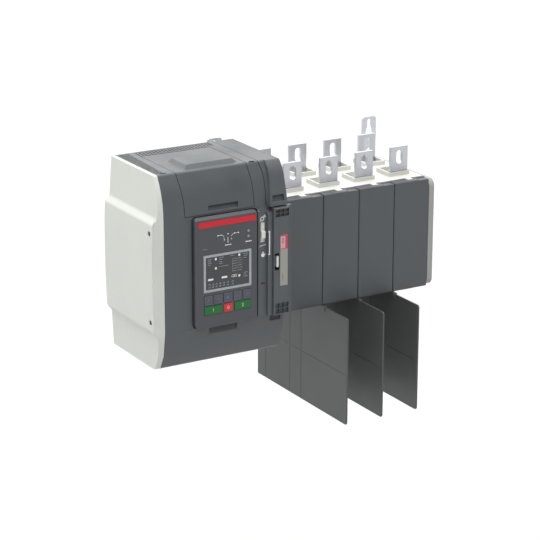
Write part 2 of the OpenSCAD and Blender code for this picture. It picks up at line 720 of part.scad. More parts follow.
module vent_grille() {
    bars = 24;
    pitch = (grille_x[1] - grille_x[0]) / bars;
    color([0.20, 0.21, 0.21]) difference() {
        block([grille_x[0] + 0.2, grille_x[1] - 0.2], [grille_y[0] + 0.2, grille_y[1] - 0.2],
              [box_top - 3.4, box_top - 0.4]);
        for (i = [0:bars - 1])
            block([grille_x[0] + (i + 0.3) * pitch, grille_x[0] + (i + 0.7) * pitch],
                  [grille_y[0] + 2.5, grille_y[1] - 2.5],
                  [box_top - 5, box_top + 1]);
    }
}

// Front view [x, z] of the side cover's wall, drawn in by t
function side_section(t) = [[box_left, box_bottom - 1], [side_x - side_lean / 2 + t, box_bottom - 1],
    [side_x - side_lean + t, -50 + t * 0.5], [side_bulge_x + t, -41.5 + t * 0.5],
    [side_bulge_x - side_swell * 0.75 + t, 0], [side_bulge_x - side_swell + t, 45],
    [side_bulge_x - side_swell * 0.75 + t, 88], [side_bulge_x + t, 118 - t * 0.5],
    [side_x - side_lean + t, 126 - t * 0.5], [side_x + t, box_top + 1], [box_left, box_top + 1]];

module side_cover() {
    color([0.82, 0.83, 0.80]) difference() {
        intersection() {
            prism_y([-330, box_back], side_section(0));
            prism_x([side_bulge_x - side_swell - 1, box_left], box_outline(0));
        }
        intersection() {
            prism_y([-330, box_back + 1], side_section(shell));
            prism_x([side_bulge_x - side_swell - 1, box_left + 1], box_outline(shell));
        }
        for (z = screw_z) {
            rod_x([side_bulge_x - side_swell - 1, side_bulge_x + 1.6], screw_y, z, 3.8);
            rod_x([side_bulge_x, box_left], screw_y, z, 1.7);
        }
    }
}

module cover_screws() {
    color([0.72, 0.73, 0.74]) for (z = screw_z) difference() {
        union() {
            rod_x([side_bulge_x + 0.3, side_bulge_x + 1.6], screw_y, z, 3.4);
            rod_x([side_bulge_x + 1.5, box_left - 1], screw_y, z, 1.5);
        }
        block([side_bulge_x, side_bulge_x + 0.9], [screw_y - 2.4, screw_y + 2.4], [z - 0.5, z + 0.5]);
    }
}

// ---- Selector and indicator ----

module selector_bezel() {
    y = [bezel_face, box_front];
    color([0.31, 0.32, 0.33]) difference() {
        union() {
            prism_y(y, round_rect(bezel_x, bezel_z, 1.5));
            block([step_x, bezel_x[1]], [step_face, y[1]], bezel_z);
        }
        // Sloped top, in line with the panel's
        prism_x(grown(bezel_x, 1),
                [[y[1] - 20, bezel_z[1] + 1], [y[1] - 20, bezel_z[1] - 20], [y[1] + eps, bezel_z[1] + eps],
            [y[1] + eps, bezel_z[1] + 1]]);
        block(slot_x, [y[0] - 1, y[1] + 1], slot_z);
        block([clip_x[0] - 0.4, clip_x[1] + 0.4], [y[0] - 1, y[1] + 1],
              [clip_z - clip_t / 2 - 0.4, clip_z + clip_t / 2 + 0.4]);
        // Chamber for the slider plate
        block([slot_x[0] - 1.5, slot_x[1] + 1.5], [y[0] + 1.2, y[1] + 1], chamber_z);
    }
}

module selector_slider() {
    plate_z = [slot_z[0] - slider_up - 0.5, slot_z[1] + slider_down + 0.5];
    y = bezel_face + 1.5;
    color([0.80, 0.80, 0.77]) {
        block([slot_x[0] - 1.1, slot_x[1] + 1.1], [y, y + 1.4], plate_z);
        block([slot_x[0] + 0.4, slot_x[1] - 0.4], [bezel_face - 2.2, y + eps], knob_z);
    }
}

module locking_clip() {
    color([0.20, 0.20, 0.21]) difference() {
        block(clip_x, [bezel_face, bezel_face + 34], [clip_z - clip_t / 2, clip_z + clip_t / 2]);
        rod_z([clip_z - 2, clip_z + 2], (clip_x[0] + clip_x[1]) / 2, bezel_face + 6, 1.5);
    }
}

module indicator_module() {
    y = [module_face, box_front];
    r = 1.5;
    outline = concat([[module_x[1], y[1]], [module_x[0], y[1]]],
        arc(module_x[0] + r, y[0] + r, r, 180, 270), arc(module_x[1] - r, y[0] + r, r, 270, 360));
    cell_x = [-219.4, -211.8, -204.2];
    cell_w = 7;
    cell_rows = [[104.6, 109.8], [110.4, 115.6], [-42.4, -34.7], [-34, -26.3]];
    color([0.31, 0.32, 0.33]) difference() {
        union() {
            prism_z(module_z, outline);
            // Flange beside the module
            block([module_x[1] - eps, -190], [-312.5, box_front], [module_z[0] + 1, module_z[1] - 1]);
        }
        prism_x(grown(module_x, 1), [[y[0] - 1, module_z[1] + 1], [y[0] - 1, module_z[1] - 3.6],
            [y[0] + 5, module_z[1] + 1]]);
        block(pointer_slot_x, [y[0] - 1, -309], pointer_slot_z);
        // Small windows at the top and bottom
        for (z = cell_rows, x = cell_x) block([x, x + cell_w], [y[0] - 1, y[0] + 3.5], z);
        block(grown(label_x, 0.3), [y[0] - 1, y[0] + 0.6], grown(label_z, 0.3));
    }
}

module label_strip() {
    color([0.72, 0.72, 0.69]) block(label_x, [module_face + 0.1, module_face + 0.6], label_z);
}

module position_pointer() {
    color([0.92, 0.92, 0.90]) block(pointer_x, [module_face + 1, -309.4], pointer_z);
}

// ---- Control panel ----

module key_body(x, z, corner) {
    prism_y([hmi_face - key_proud, hmi_face + hmi_plate_t + 0.4], round_rect(x, z, corner));
    prism_y([hmi_face + hmi_plate_t + 0.3, hmi_face + hmi_plate_t + 0.3 + key_flange],
        round_rect(grown(x, key_flange), grown(z, key_flange), 1));
}
function soft_key_x(k) = [soft_key_x0 + (k - 1) * soft_key_pitch, soft_key_x0 + (k - 1) * soft_key_pitch + soft_key_w];

module hmi_case() {
    face = [hmi_face, hmi_face + hmi_plate_t];
    color([0.29, 0.30, 0.31]) difference() {
        prism_y([hmi_face, hmi_back], round_rect(hmi_x, hmi_z, hmi_corner));
        prism_y([face[1], hmi_back + 1], round_rect(grown(hmi_x, -2.5), grown(hmi_z, -2.5), hmi_corner - 2.5));
        // Sloped rim along the top
        prism_x([hmi_x[0] - 1, hmi_x[1] + 1],
                [[hmi_face - 1, hmi_z[1] + 1], [hmi_face - 1, hmi_z[1] - 5.2], [hmi_face + 4.5, hmi_z[1] + 1]]);
        prism_y([hmi_face - 1, hmi_face + 1.6], round_rect(grown(window_x, 0.2), grown(window_z, 0.2), 1));
        prism_y([hmi_face - 1, hmi_face + 0.8], round_rect(grown(band_x, 0.1), grown(band_z, 0.1), 0.8));
        for (k = SOFT_KEYS)
            prism_y([hmi_face - 1, face[1] + 1],
                    round_rect(grown(soft_key_x(k), key_gap), grown(soft_key_z, key_gap), 1.2));
        for (x = key_x)
            prism_y([hmi_face - 1, face[1] + 1], round_rect(grown(x, key_gap), grown(key_row_z, key_gap), 1.2));
    }
}

module hmi_window() {
    color([0.16, 0.18, 0.19]) prism_y([hmi_face + 0.1, hmi_face + 1.6], round_rect(window_x, window_z, 0.8));
}

module hmi_band() {
    color([0.75, 0.16, 0.22]) prism_y([hmi_face - 0.2, hmi_face + 0.8], round_rect(band_x, band_z, 0.7));
}

module hmi_board() {
    inset = 3.2;
    color([0.10, 0.35, 0.20]) difference() {
        prism_y([hmi_back - 8, hmi_back - 6.4], round_rect(grown(hmi_x, -inset), grown(hmi_z, -inset), 3));
        block([-300, -296], [hmi_back - 10, hmi_back], [-41, -37]);
    }
}

module soft_key(k) {
    color([0.24, 0.25, 0.26]) key_body(soft_key_x(k), soft_key_z, 0.9);
}
module key_source_1() { color([0.10, 0.42, 0.22]) key_body(key_x[0], key_row_z, 0.9); }
module key_off() { color([0.74, 0.18, 0.18]) key_body(key_x[1], key_row_z, 0.9); }
module key_source_2() { color([0.10, 0.42, 0.22]) key_body(key_x[2], key_row_z, 0.9); }

// ---- Assembly ----

for (k = POLES) {
    pole_housing(k);
    pole_cover(k);
    source_terminal(k, 0);
    source_terminal(k, 1);
}
for (k = [1, 2, 3]) phase_barrier(k);
for (k = SOFT_KEYS) soft_key(k);
load_terminals();
end_plate(-1);  // end_plate_left
end_plate(1);  // end_plate_right
mounting_feet();
tie_rods();
arc_chutes();
gear_case();
chassis();
side_cover();
cover_screws();
front_cover();
vent_grille();
right_cap();
wiring_cover();
selector_bezel();
indicator_module();
label_strip();
control_board();
control_terminals();
motor();
motor_pinion();
drive_shaft();
rotor(0);  // front_rotor
contacts(0);  // front_contacts
rotor(1);  // rear_rotor
contacts(1);  // rear_contacts
hmi_case();
hmi_window();
hmi_band();
hmi_board();
key_source_1();
key_off();
key_source_2();
selector_slider();
locking_clip();
position_pointer();
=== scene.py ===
"""Automatic transfer switch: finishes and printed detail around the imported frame.

Everything is in metres in the frame's own axes: +X along the poles, +Y into the
wall, +Z up. Lengths written in millimetres pass through mm().
"""
import json
import math
import random

import bmesh
import bpy
from mathutils import Matrix, Vector

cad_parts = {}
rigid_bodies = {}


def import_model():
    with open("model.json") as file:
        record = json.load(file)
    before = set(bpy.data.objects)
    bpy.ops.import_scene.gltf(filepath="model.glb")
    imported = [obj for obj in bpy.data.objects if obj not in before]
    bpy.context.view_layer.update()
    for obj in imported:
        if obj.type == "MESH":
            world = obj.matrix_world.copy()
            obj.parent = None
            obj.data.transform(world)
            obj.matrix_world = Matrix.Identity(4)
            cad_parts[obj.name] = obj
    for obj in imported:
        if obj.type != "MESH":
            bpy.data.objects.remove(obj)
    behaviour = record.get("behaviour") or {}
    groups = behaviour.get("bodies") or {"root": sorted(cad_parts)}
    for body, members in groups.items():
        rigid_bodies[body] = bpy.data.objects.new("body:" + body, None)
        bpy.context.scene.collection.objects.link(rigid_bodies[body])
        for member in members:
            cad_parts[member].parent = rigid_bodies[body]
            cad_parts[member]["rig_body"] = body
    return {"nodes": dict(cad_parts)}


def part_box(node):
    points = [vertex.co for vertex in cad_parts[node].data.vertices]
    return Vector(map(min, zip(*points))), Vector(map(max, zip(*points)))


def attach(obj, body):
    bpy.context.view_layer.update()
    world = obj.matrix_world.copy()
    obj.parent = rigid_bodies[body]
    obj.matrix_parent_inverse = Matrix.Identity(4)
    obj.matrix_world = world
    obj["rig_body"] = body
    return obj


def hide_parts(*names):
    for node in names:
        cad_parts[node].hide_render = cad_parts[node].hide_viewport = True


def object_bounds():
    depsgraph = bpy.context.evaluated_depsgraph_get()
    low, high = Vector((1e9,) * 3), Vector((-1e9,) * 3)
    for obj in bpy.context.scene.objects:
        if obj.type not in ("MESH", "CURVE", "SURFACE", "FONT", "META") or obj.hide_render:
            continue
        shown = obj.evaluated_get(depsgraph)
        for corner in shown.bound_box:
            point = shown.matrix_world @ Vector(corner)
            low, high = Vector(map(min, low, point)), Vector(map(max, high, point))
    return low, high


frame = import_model()
cad_lo, cad_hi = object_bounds()
nodes = frame["nodes"]
body_of = {name: obj["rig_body"] for name, obj in nodes.items()}

# Brightness of the surround in each direction, and of the broad lamp above
SKY_FRONT, SKY_BACK, SKY_LEFT, SKY_TOP = 0.16, 2.7, 0.45, 2.2
HORIZON_FRONT = 0.2
SUN_POWER, SUN_TOWARDS = 2.2, (0.06, 0.32, -1.0)
FLOOR_DROP = 0.5

# Printed marks: how far they stand out of a surface, and how far they reach into it, in millimetres
INK_OUT, INK_IN = 0.12, 0.05
# Heights of the folds in the side cover's wall, and the reach of their rounding, in millimetres
SIDE_FOLDS, FOLD_REACH = (-50, -41.5, 118, 126), 2.6


def mm(value):
    return value / 1000.0


# ---- Camera, floor and light ----

def make_camera():
    """Long lens from the front left, slightly above."""
    azimuth, elevation, roll = (math.radians(a) for a in (-30.5839, 17.6233, 0.1162))
    back = Vector((math.sin(azimuth) * math.cos(elevation),
                   -math.cos(azimuth) * math.cos(elevation), math.sin(elevation)))
    level = Vector((math.cos(azimuth), math.sin(azimuth), 0))
    up = back.cross(level)
    right = level * math.cos(roll) + up * math.sin(roll)
    up = up * math.cos(roll) - level * math.sin(roll)
    data = bpy.data.cameras.new("camera")
    data.lens, data.sensor_width = 139.19, 36
    data.clip_start, data.clip_end = 0.1, 60
    camera = bpy.data.objects.new("camera", data)
    camera.matrix_world = Matrix((right, up, back)).transposed().to_4x4()
    camera.location = (-1.692107, -2.792805, 0.940594)
    bpy.context.scene.collection.objects.link(camera)
    bpy.context.scene.camera = camera


def sky_value(tree, source, out_name, start, end, low, high):
    """Smooth change from `low` to `high` as one part of the direction goes from start to end."""
    span = tree.nodes.new("ShaderNodeMapRange")
    span.interpolation_type = "SMOOTHSTEP"
    for socket, value in (("From Min", start), ("From Max", end), ("To Min", low), ("To Max", high)):
        span.inputs[socket].default_value = value
    tree.links.new(source.outputs[out_name], span.inputs["Value"])
    return span


def sky_math(tree, operation, first, second):
    node = tree.nodes.new("ShaderNodeMath")
    node.operation = operation
    for socket, source in zip(node.inputs, (first, second)):
        if isinstance(source, float):
            socket.default_value = source
        else:
            tree.links.new(source.outputs["Result" if "Result" in source.outputs else "Value"], socket)
    return node


def make_surround():
    """Studio surround: pale low down but dimmer ahead, a bright back and top, a softer left."""
    world = bpy.data.worlds.new("surround")
    world.use_nodes = True
    tree = world.node_tree
    source = tree.nodes.new("ShaderNodeTexCoord")
    parts = tree.nodes.new("ShaderNodeSeparateXYZ")
    tree.links.new(source.outputs["Generated"], parts.inputs["Vector"])
    back = sky_value(tree, parts, "Y", 0.4, 0.95, 0.0, SKY_BACK)
    left = sky_value(tree, parts, "X", 0.1, -0.9, 0.0, SKY_LEFT)
    top = sky_value(tree, parts, "Z", 0.6, 0.95, 0.0, SKY_TOP)
    sides = sky_math(tree, "ADD", sky_math(tree, "ADD", back, left), sky_math(tree, "ADD", top, SKY_FRONT))
    above = sky_value(tree, parts, "Z", 0.13, 0.22, 0.0, 1.0)
    horizon = sky_value(tree, parts, "Z", 0.13, 0.22, 1.0, 0.0)
    ahead = sky_value(tree, parts, "Y", -0.2, -0.9, 1.0, HORIZON_FRONT)
    low = sky_math(tree, "MULTIPLY", horizon, ahead)
    total = sky_math(tree, "ADD", sky_math(tree, "MULTIPLY", sides, above), low)
    tree.links.new(total.outputs["Value"], tree.nodes["Background"].inputs["Strength"])
    tree.nodes["Background"].inputs["Color"].default_value = (1, 1, 1, 1)
    bpy.context.scene.world = world


def make_stage():
    """Plain pale floor below the barriers, one broad soft lamp above and the surround."""
    half, below = 30.0, cad_lo.z - FLOOR_DROP
    mesh = bpy.data.meshes.new("floor")
    mesh.from_pydata([(-half, -half, below), (half, -half, below), (half, half, below), (-half, half, below)],
                     [], [(0, 1, 2, 3)])
    floor = bpy.data.objects.new("floor", mesh)
    bpy.context.scene.collection.objects.link(floor)
    mesh.materials.append(surface("floor_white", (188, 188, 188), rough=0.9, mottle=0.005, grain=0))
    data = bpy.data.lights.new("softbox", "SUN")
    data.energy, data.angle = SUN_POWER, math.radians(70)
    lamp = bpy.data.objects.new("softbox", data)
    lamp.rotation_euler = Vector(SUN_TOWARDS).to_track_quat("-Z", "Y").to_euler()
    bpy.context.scene.collection.objects.link(lamp)
    make_surround()
    bpy.context.scene.view_settings.view_transform = "Standard"


# ---- Materials ----

def linear(rgb):
    return tuple(((c / 255 + 0.055) / 1.055) ** 2.4 if c > 10 else c / 255 / 12.92 for c in rgb)


def link(tree, out_node, out_name, in_node, in_name):
    tree.links.new(out_node.outputs[out_name], in_node.inputs[in_name])


def noise_of(tree, source, size, detail=2.0, stretch=(1, 1, 1)):
    """Noise whose features are about `size` metres, drawn out by `stretch`."""
    place = tree.nodes.new("ShaderNodeMapping")
    place.inputs["Scale"].default_value = tuple(1 / (size * s) for s in stretch)
    link(tree, source, "Object", place, "Vector")
    noise = tree.nodes.new("ShaderNodeTexNoise")
    noise.inputs["Scale"].default_value = 1.0
    noise.inputs["Detail"].default_value = detail
    link(tree, place, "Vector", noise, "Vector")
    return noise


def remap(tree, node, out_name, low, high):
    span = tree.nodes.new("ShaderNodeMapRange")
    span.inputs["From Min"].default_value, span.inputs["From Max"].default_value = 0.3, 0.7
    span.inputs["To Min"].default_value, span.inputs["To Max"].default_value = low, high
    link(tree, node, out_name, span, "Value")
    return span


def surface(name, rgb, rough=0.5, mottle=0.05, grain=0.0004, bump=0.1, metallic=0.0,
            stretch=(1, 1, 1), rough_span=0.06, coat=0.0, drift=0.05, ior=1.46):
    """Procedural finish: slow colour drift, fine grain in the normal, uneven gloss."""
    material = bpy.data.materials.new(name)
    material.use_nodes = True
    tree = material.node_tree
    shader = tree.nodes["Principled BSDF"]
    shader.inputs["Metallic"].default_value = metallic
    shader.inputs["IOR"].default_value = ior
    shader.inputs["Coat Weight"].default_value = coat
    shader.inputs["Coat Roughness"].default_value = 0.12
    source = tree.nodes.new("ShaderNodeTexCoord")
    base = linear(rgb)
    slow = noise_of(tree, source, drift, 3.0, stretch)
    ramp = tree.nodes.new("ShaderNodeValToRGB")
    ramp.color_ramp.elements[0].position, ramp.color_ramp.elements[1].position = 0.32, 0.68
    ramp.color_ramp.elements[0].color = tuple(c * (1 - mottle) for c in base) + (1,)
    ramp.color_ramp.elements[1].color = tuple(min(1.0, c * (1 + mottle)) for c in base) + (1,)
    link(tree, slow, "Fac", ramp, "Fac")
    link(tree, ramp, "Color", shader, "Base Color")
    span = remap(tree, slow, "Fac", rough - rough_span, rough + rough_span)
    link(tree, span, "Result", shader, "Roughness")
    if grain:
        fine = noise_of(tree, source, grain, 4.0, stretch)
        relief = tree.nodes.new("ShaderNodeBump")
        relief.inputs["Strength"].default_value = bump
        relief.inputs["Distance"].default_value = grain * 0.5
        link(tree, fine, "Fac", relief, "Height")
        link(tree, relief, "Normal", shader, "Normal")
    return material


FINE = mm(0.35)
MAT = {
    "pale_housing": surface("pale_housing", (200, 200, 194), 0.52, 0.03, FINE, 0.10),
    "dark_cover": surface("dark_cover", (70, 74, 77), 0.48, 0.05, FINE, 0.14, ior=1.55),
    "plated_copper": surface("plated_copper", (198, 200, 206), 0.36, 0.05, mm(0.25), 0.10, 1.0,
                             (1, 1, 14), 0.07, drift=0.012),
    "end_plate": surface("end_plate", (146, 147, 144), 0.50, 0.03, FINE, 0.10),
    "zinc_steel": surface("zinc_steel", (208, 210, 216), 0.38, 0.10, mm(0.4), 0.08, 1.0,
                          (1, 1, 1), 0.10, drift=0.008),
    "barrier": surface("barrier", (70, 74, 72), 0.46, 0.06, mm(0.5), 0.16),
    "side_panel": surface("side_panel", (192, 194, 188), 0.48, 0.02, FINE, 0.10),
    "black_plastic": surface("black_plastic", (36, 38, 39), 0.45, 0.08, FINE, 0.12),
    "label": surface("label", (140, 140, 134), 0.42, 0.03, mm(0.2), 0.04),
    "circuit_board": surface("circuit_board", (22, 92, 52), 0.38, 0.12, mm(0.8), 0.06, drift=0.006),
    "green_terminal": surface("green_terminal", (52, 128, 74), 0.42, 0.06, FINE, 0.08),
    "motor_steel": surface("motor_steel", (150, 152, 156), 0.34, 0.06, mm(0.3), 0.08, 1.0,
                           (12, 1, 1), 0.08, drift=0.01),
    "black_steel": surface("black_steel", (52, 54, 56), 0.40, 0.08, mm(0.3), 0.08, 0.6, drift=0.006),
    "brass_gear": surface("brass_gear", (196, 168, 98), 0.30, 0.08, mm(0.3), 0.08, 1.0, drift=0.006),
    "machined_steel": surface("machined_steel", (176, 178, 182), 0.26, 0.06, mm(0.2), 0.10, 1.0,
                              (10, 1, 1), 0.08, drift=0.01),
    "rotor_moulding": surface("rotor_moulding", (44, 44, 46), 0.44, 0.08, FINE, 0.10),
    "silver_contact": surface("silver_contact", (206, 202, 192), 0.28, 0.06, mm(0.3), 0.08, 1.0,
                              drift=0.008),
    "panel_face": surface("panel_face", (64, 66, 70), 0.40, 0.04, FINE, 0.08, coat=0.04),
    "screen_glass": surface("screen_glass", (36, 40, 43), 0.16, 0.05, mm(0.6), 0.01, coat=0.5),
    "red_band": surface("red_band", (188, 12, 32), 0.42, 0.03, mm(0.25), 0.03),
    "soft_key": surface("soft_key", (70, 73, 80), 0.46, 0.05, FINE, 0.10),
    "green_key": surface("green_key", (10, 94, 36), 0.42, 0.05, FINE, 0.08),
    "red_key": surface("red_key", (184, 38, 40), 0.42, 0.05, FINE, 0.08),
    "white_plastic": surface("white_plastic", (204, 204, 198), 0.45, 0.03, FINE, 0.08),
}
INK_WHITE = surface("ink_white", (214, 216, 214), 0.5, 0.05, mm(0.15), 0.05, drift=0.003)
INK_PALE = surface("ink_pale", (178, 180, 178), 0.5, 0.05, mm(0.15), 0.05, drift=0.003)
INK_GREY = surface("ink_grey", (150, 155, 160), 0.5, 0.06, mm(0.15), 0.05, drift=0.003)
INK_SCREEN = surface("ink_screen", (132, 138, 143), 0.4, 0.10, mm(0.15), 0.03, drift=0.002)
INK_BLUE = surface("ink_blue", (92, 96, 124), 0.5, 0.08, mm(0.15), 0.05, drift=0.003)
INK_PALE_GREEN = surface("ink_pale_green", (140, 196, 160), 0.5, 0.05, mm(0.15), 0.05, drift=0.003)
INK_RED = surface("ink_red", (176, 60, 78), 0.45, 0.05, mm(0.15), 0.04, drift=0.003)
INK_PINK = surface("ink_pink", (188, 146, 152), 0.45, 0.04, mm(0.15), 0.04, drift=0.003)
INK_DARK = surface("ink_dark", (104, 100, 98), 0.45, 0.05, mm(0.15), 0.04, drift=0.003)
# Near-black for the ring inside the panel's gap: painted shade standing in for the gap's shadow
GAP_SHADE = surface("gap_shade", (34, 36, 37), 0.6, 0.10, mm(0.3), 0.10)
LENS_DIM = surface("lens_dim", (128, 132, 134), 0.22, 0.05, mm(0.3), 0.02, coat=0.6)


# ---- Shared mesh tools ----

def flat_and_smooth(mesh, angle=34):
    """Smooth shading that breaks at real corners."""
    for face in mesh.polygons:
        face.use_smooth = True
    mesh.set_sharp_from_angle(angle=math.radians(angle))


def rounded(mesh, name, width, segments, angle=28):
    """New object with every real corner of the mesh rounded by `width` metres."""
    obj = bpy.data.objects.new(name, mesh)
    bpy.context.scene.collection.objects.link(obj)
    if width > 0:
        bevel = obj.modifiers.new("round", "BEVEL")
        bevel.width, bevel.segments = width, segments
        bevel.limit_method, bevel.angle_limit = "ANGLE", math.radians(angle)
        bevel.use_clamp_overlap = bevel.loop_slide = False
        solid = bpy.data.meshes.new_from_object(obj.evaluated_get(bpy.context.evaluated_depsgraph_get()))
        obj.modifiers.clear()
        obj.data = solid
        solid.name = name
    flat_and_smooth(obj.data)
    weigh = obj.modifiers.new("weigh", "WEIGHTED_NORMAL")
    weigh.keep_sharp, weigh.weight = True, 60
    return obj


def welded_copy(node):
    """The node's mesh with its faces joined, so that its corners can be rounded."""
    tool = bmesh.new()
    tool.from_mesh(nodes[node].data)
    bmesh.ops.remove_doubles(tool, verts=tool.verts, dist=1e-6)
    mesh = bpy.data.meshes.new(node + "-finish")
    tool.to_mesh(mesh)
    tool.free()
    return mesh


def soften_folds(mesh, heights, reach):
    """Wide rounding of the folds that run along Y near the given heights."""
    tool = bmesh.new()
    tool.from_mesh(mesh)
    bmesh.ops.dissolve_limit(tool, angle_limit=math.radians(0.5), verts=tool.verts, edges=tool.edges)
    folds = []
    for edge in tool.edges:
        a, b = (vert.co for vert in edge.verts)
        level = abs(a.z - b.z) < mm(0.3) and abs(a.y - b.y) > mm(40)
        if level and any(abs(a.z - mm(z)) < mm(0.8) for z in heights) and edge.calc_face_angle(0) > 0.3:
            folds.append(edge)
    bmesh.ops.bevel(tool, geom=folds, offset=mm(reach), segments=3, profile=0.5, affect="EDGES")
    tool.to_mesh(mesh)
    tool.free()


def finish_node(node, slot, width=0.4, segments=2, folds=()):
    """Stands for a CAD node with rounded corners and its material."""
    mesh = welded_copy(node)
    if folds:
        soften_folds(mesh, folds, FOLD_REACH)
    obj = rounded(mesh, node + "-finish", mm(width), segments)
    obj.data.materials.clear()
    obj.data.materials.append(MAT[slot])
    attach(obj, body_of[node])
    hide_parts(node)
    return obj


def keep_node(node, slot):
    nodes[node].data.materials.clear()
    nodes[node].data.materials.append(MAT[slot])


def add_prism(tool, points, y0, y1):
    """Prism along Y from a counter-clockwise outline of (x, z) in millimetres, seen from the front."""
    front = [tool.verts.new((mm(x), mm(y0), mm(z))) for x, z in points]
    back = [tool.verts.new((mm(x), mm(y1), mm(z))) for x, z in points]
    tool.faces.new(front)
    tool.faces.new(back[::-1])
    count = len(points)
    for i in range(count):
        j = (i + 1) % count
        tool.faces.new((front[i], back[i], back[j], front[j]))


def rect(x0, x1, z0, z1):
    return [(x0, z0), (x1, z0), (x1, z1), (x0, z1)]


def round_rect(x0, x1, z0, z1, r, steps=5):
    points = []
    corners = ((x1 - r, z0 + r, 270), (x1 - r, z1 - r, 0), (x0 + r, z1 - r, 90), (x0 + r, z0 + r, 180))
    for cx, cz, start in corners:
        for i in range(steps + 1):
            a = math.radians(start + 90 * i / steps)
            points.append((cx + r * math.cos(a), cz + r * math.sin(a)))
    return points


def disc(x, z, r, steps=20):
    return ellipse(x, z, r, r, steps)


def ellipse(x, z, half_wide, half_tall, steps=28):
    return [(x + half_wide * math.cos(a), z + half_tall * math.sin(a))
            for a in (2 * math.pi * i / steps for i in range(steps))]


def stroke(x0, z0, x1, z1, width):
    """Thin bar between two points."""
    length = math.hypot(x1 - x0, z1 - z0)
    nx, nz = -(z1 - z0) / length * width / 2, (x1 - x0) / length * width / 2
    return [(x0 - nx, z0 - nz), (x1 - nx, z1 - nz), (x1 + nx, z1 + nz), (x0 + nx, z0 + nz)]


def add_ring(tool, outer, inner, y0, y1):
    """Closed band between two outlines with the same number of points."""
    count = len(outer)
    rings = [[tool.verts.new((mm(x), mm(y), mm(z))) for x, z in line]
             for y in (y0, y1) for line in (outer, inner)]
    out_front, in_front, out_back, in_back = rings
    for i in range(count):
        j = (i + 1) % count
        tool.faces.new((out_front[i], out_front[j], in_front[j], in_front[i]))
        tool.faces.new((out_back[j], out_back[i], in_back[i], in_back[j]))
        tool.faces.new((out_front[j], out_front[i], out_back[i], out_back[j]))
        tool.faces.new((in_front[i], in_front[j], in_back[j], in_back[i]))


def piece(name, body, material, build, width=0.0, segments=1):
    """A new piece: build(tool) draws it with bmesh, then it rides on its body."""
    tool = bmesh.new()
    build(tool)
    bmesh.ops.recalc_face_normals(tool, faces=tool.faces)
    mesh = bpy.data.meshes.new(name)
    tool.to_mesh(mesh)
    tool.free()
    obj = rounded(mesh, name, mm(width), segments)
    obj.data.materials.append(material)
    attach(obj, body)
    return obj


def prints(name, body, material, outlines, y_front, out=INK_OUT):
    """Printed marks: thin raised shapes on a surface that faces the front."""
    return piece(name, body, material,
                 lambda tool: [add_prism(tool, o, y_front - out, y_front + INK_IN) for o in outlines])


def box_mm(node):
    lo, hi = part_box(node)
    return [v * 1000 for v in lo], [v * 1000 for v in hi]


# ---- CAD nodes ----

def finish_nodes():
    for k in range(1, 5):
        finish_node(f"pole_housing_{k}", "pale_housing", 0.5)
        finish_node(f"pole_cover_{k}", "dark_cover", 0.5)
        finish_node(f"front_terminal_{k}", "plated_copper", 0.45)
        finish_node(f"rear_terminal_{k}", "plated_copper", 0.45)
    for k in range(1, 4):
        finish_node(f"phase_barrier_{k}", "barrier", 0.2, 1)
    for node, slot, width in (
            ("load_terminals", "plated_copper", 0.45), ("end_plate_left", "end_plate", 1.0),
            ("end_plate_right", "end_plate", 1.0), ("mounting_feet", "zinc_steel", 0.35),
            ("tie_rods", "zinc_steel", 0.4), ("gear_case", "dark_cover", 1.0), ("chassis", "zinc_steel", 0.4),
            ("cover_screws", "black_steel", 0.2),
            ("front_cover", "dark_cover", 0.35), ("vent_grille", "dark_cover", 0.25),
            ("right_cap", "dark_cover", 0.5), ("wiring_cover", "dark_cover", 0.5),
            ("selector_bezel", "dark_cover", 0.3), ("indicator_module", "dark_cover", 0.4),
            ("label_strip", "label", 0.12), ("control_terminals", "green_terminal", 0.3),
            ("motor", "motor_steel", 0.8), ("hmi_case", "panel_face", 0.3),
            ("hmi_window", "screen_glass", 0.2), ("hmi_band", "red_band", 0.15),
            ("key_source_1", "green_key", 0.25), ("key_off", "red_key", 0.25),
            ("key_source_2", "green_key", 0.25), ("selector_slider", "white_plastic", 0.3),
            ("locking_clip", "black_plastic", 0.2), ("position_pointer", "white_plastic", 0.3)):
        finish_node(node, slot, width)
    finish_node("side_cover", "side_panel", 0.8, folds=SIDE_FOLDS)
    for k in range(1, 6):
        finish_node(f"soft_key_{k}", "soft_key", 0.25)
    for node, slot in (
            ("arc_chutes", "zinc_steel"), ("control_board", "circuit_board"), ("hmi_board", "circuit_board"),
            ("motor_pinion", "brass_gear"), ("drive_shaft", "machined_steel"),
            ("front_rotor", "rotor_moulding"), ("rear_rotor", "rotor_moulding"),
            ("front_contacts", "silver_contact"), ("rear_contacts", "silver_contact")):
        keep_node(node, slot)


# ---- Control panel prints ----

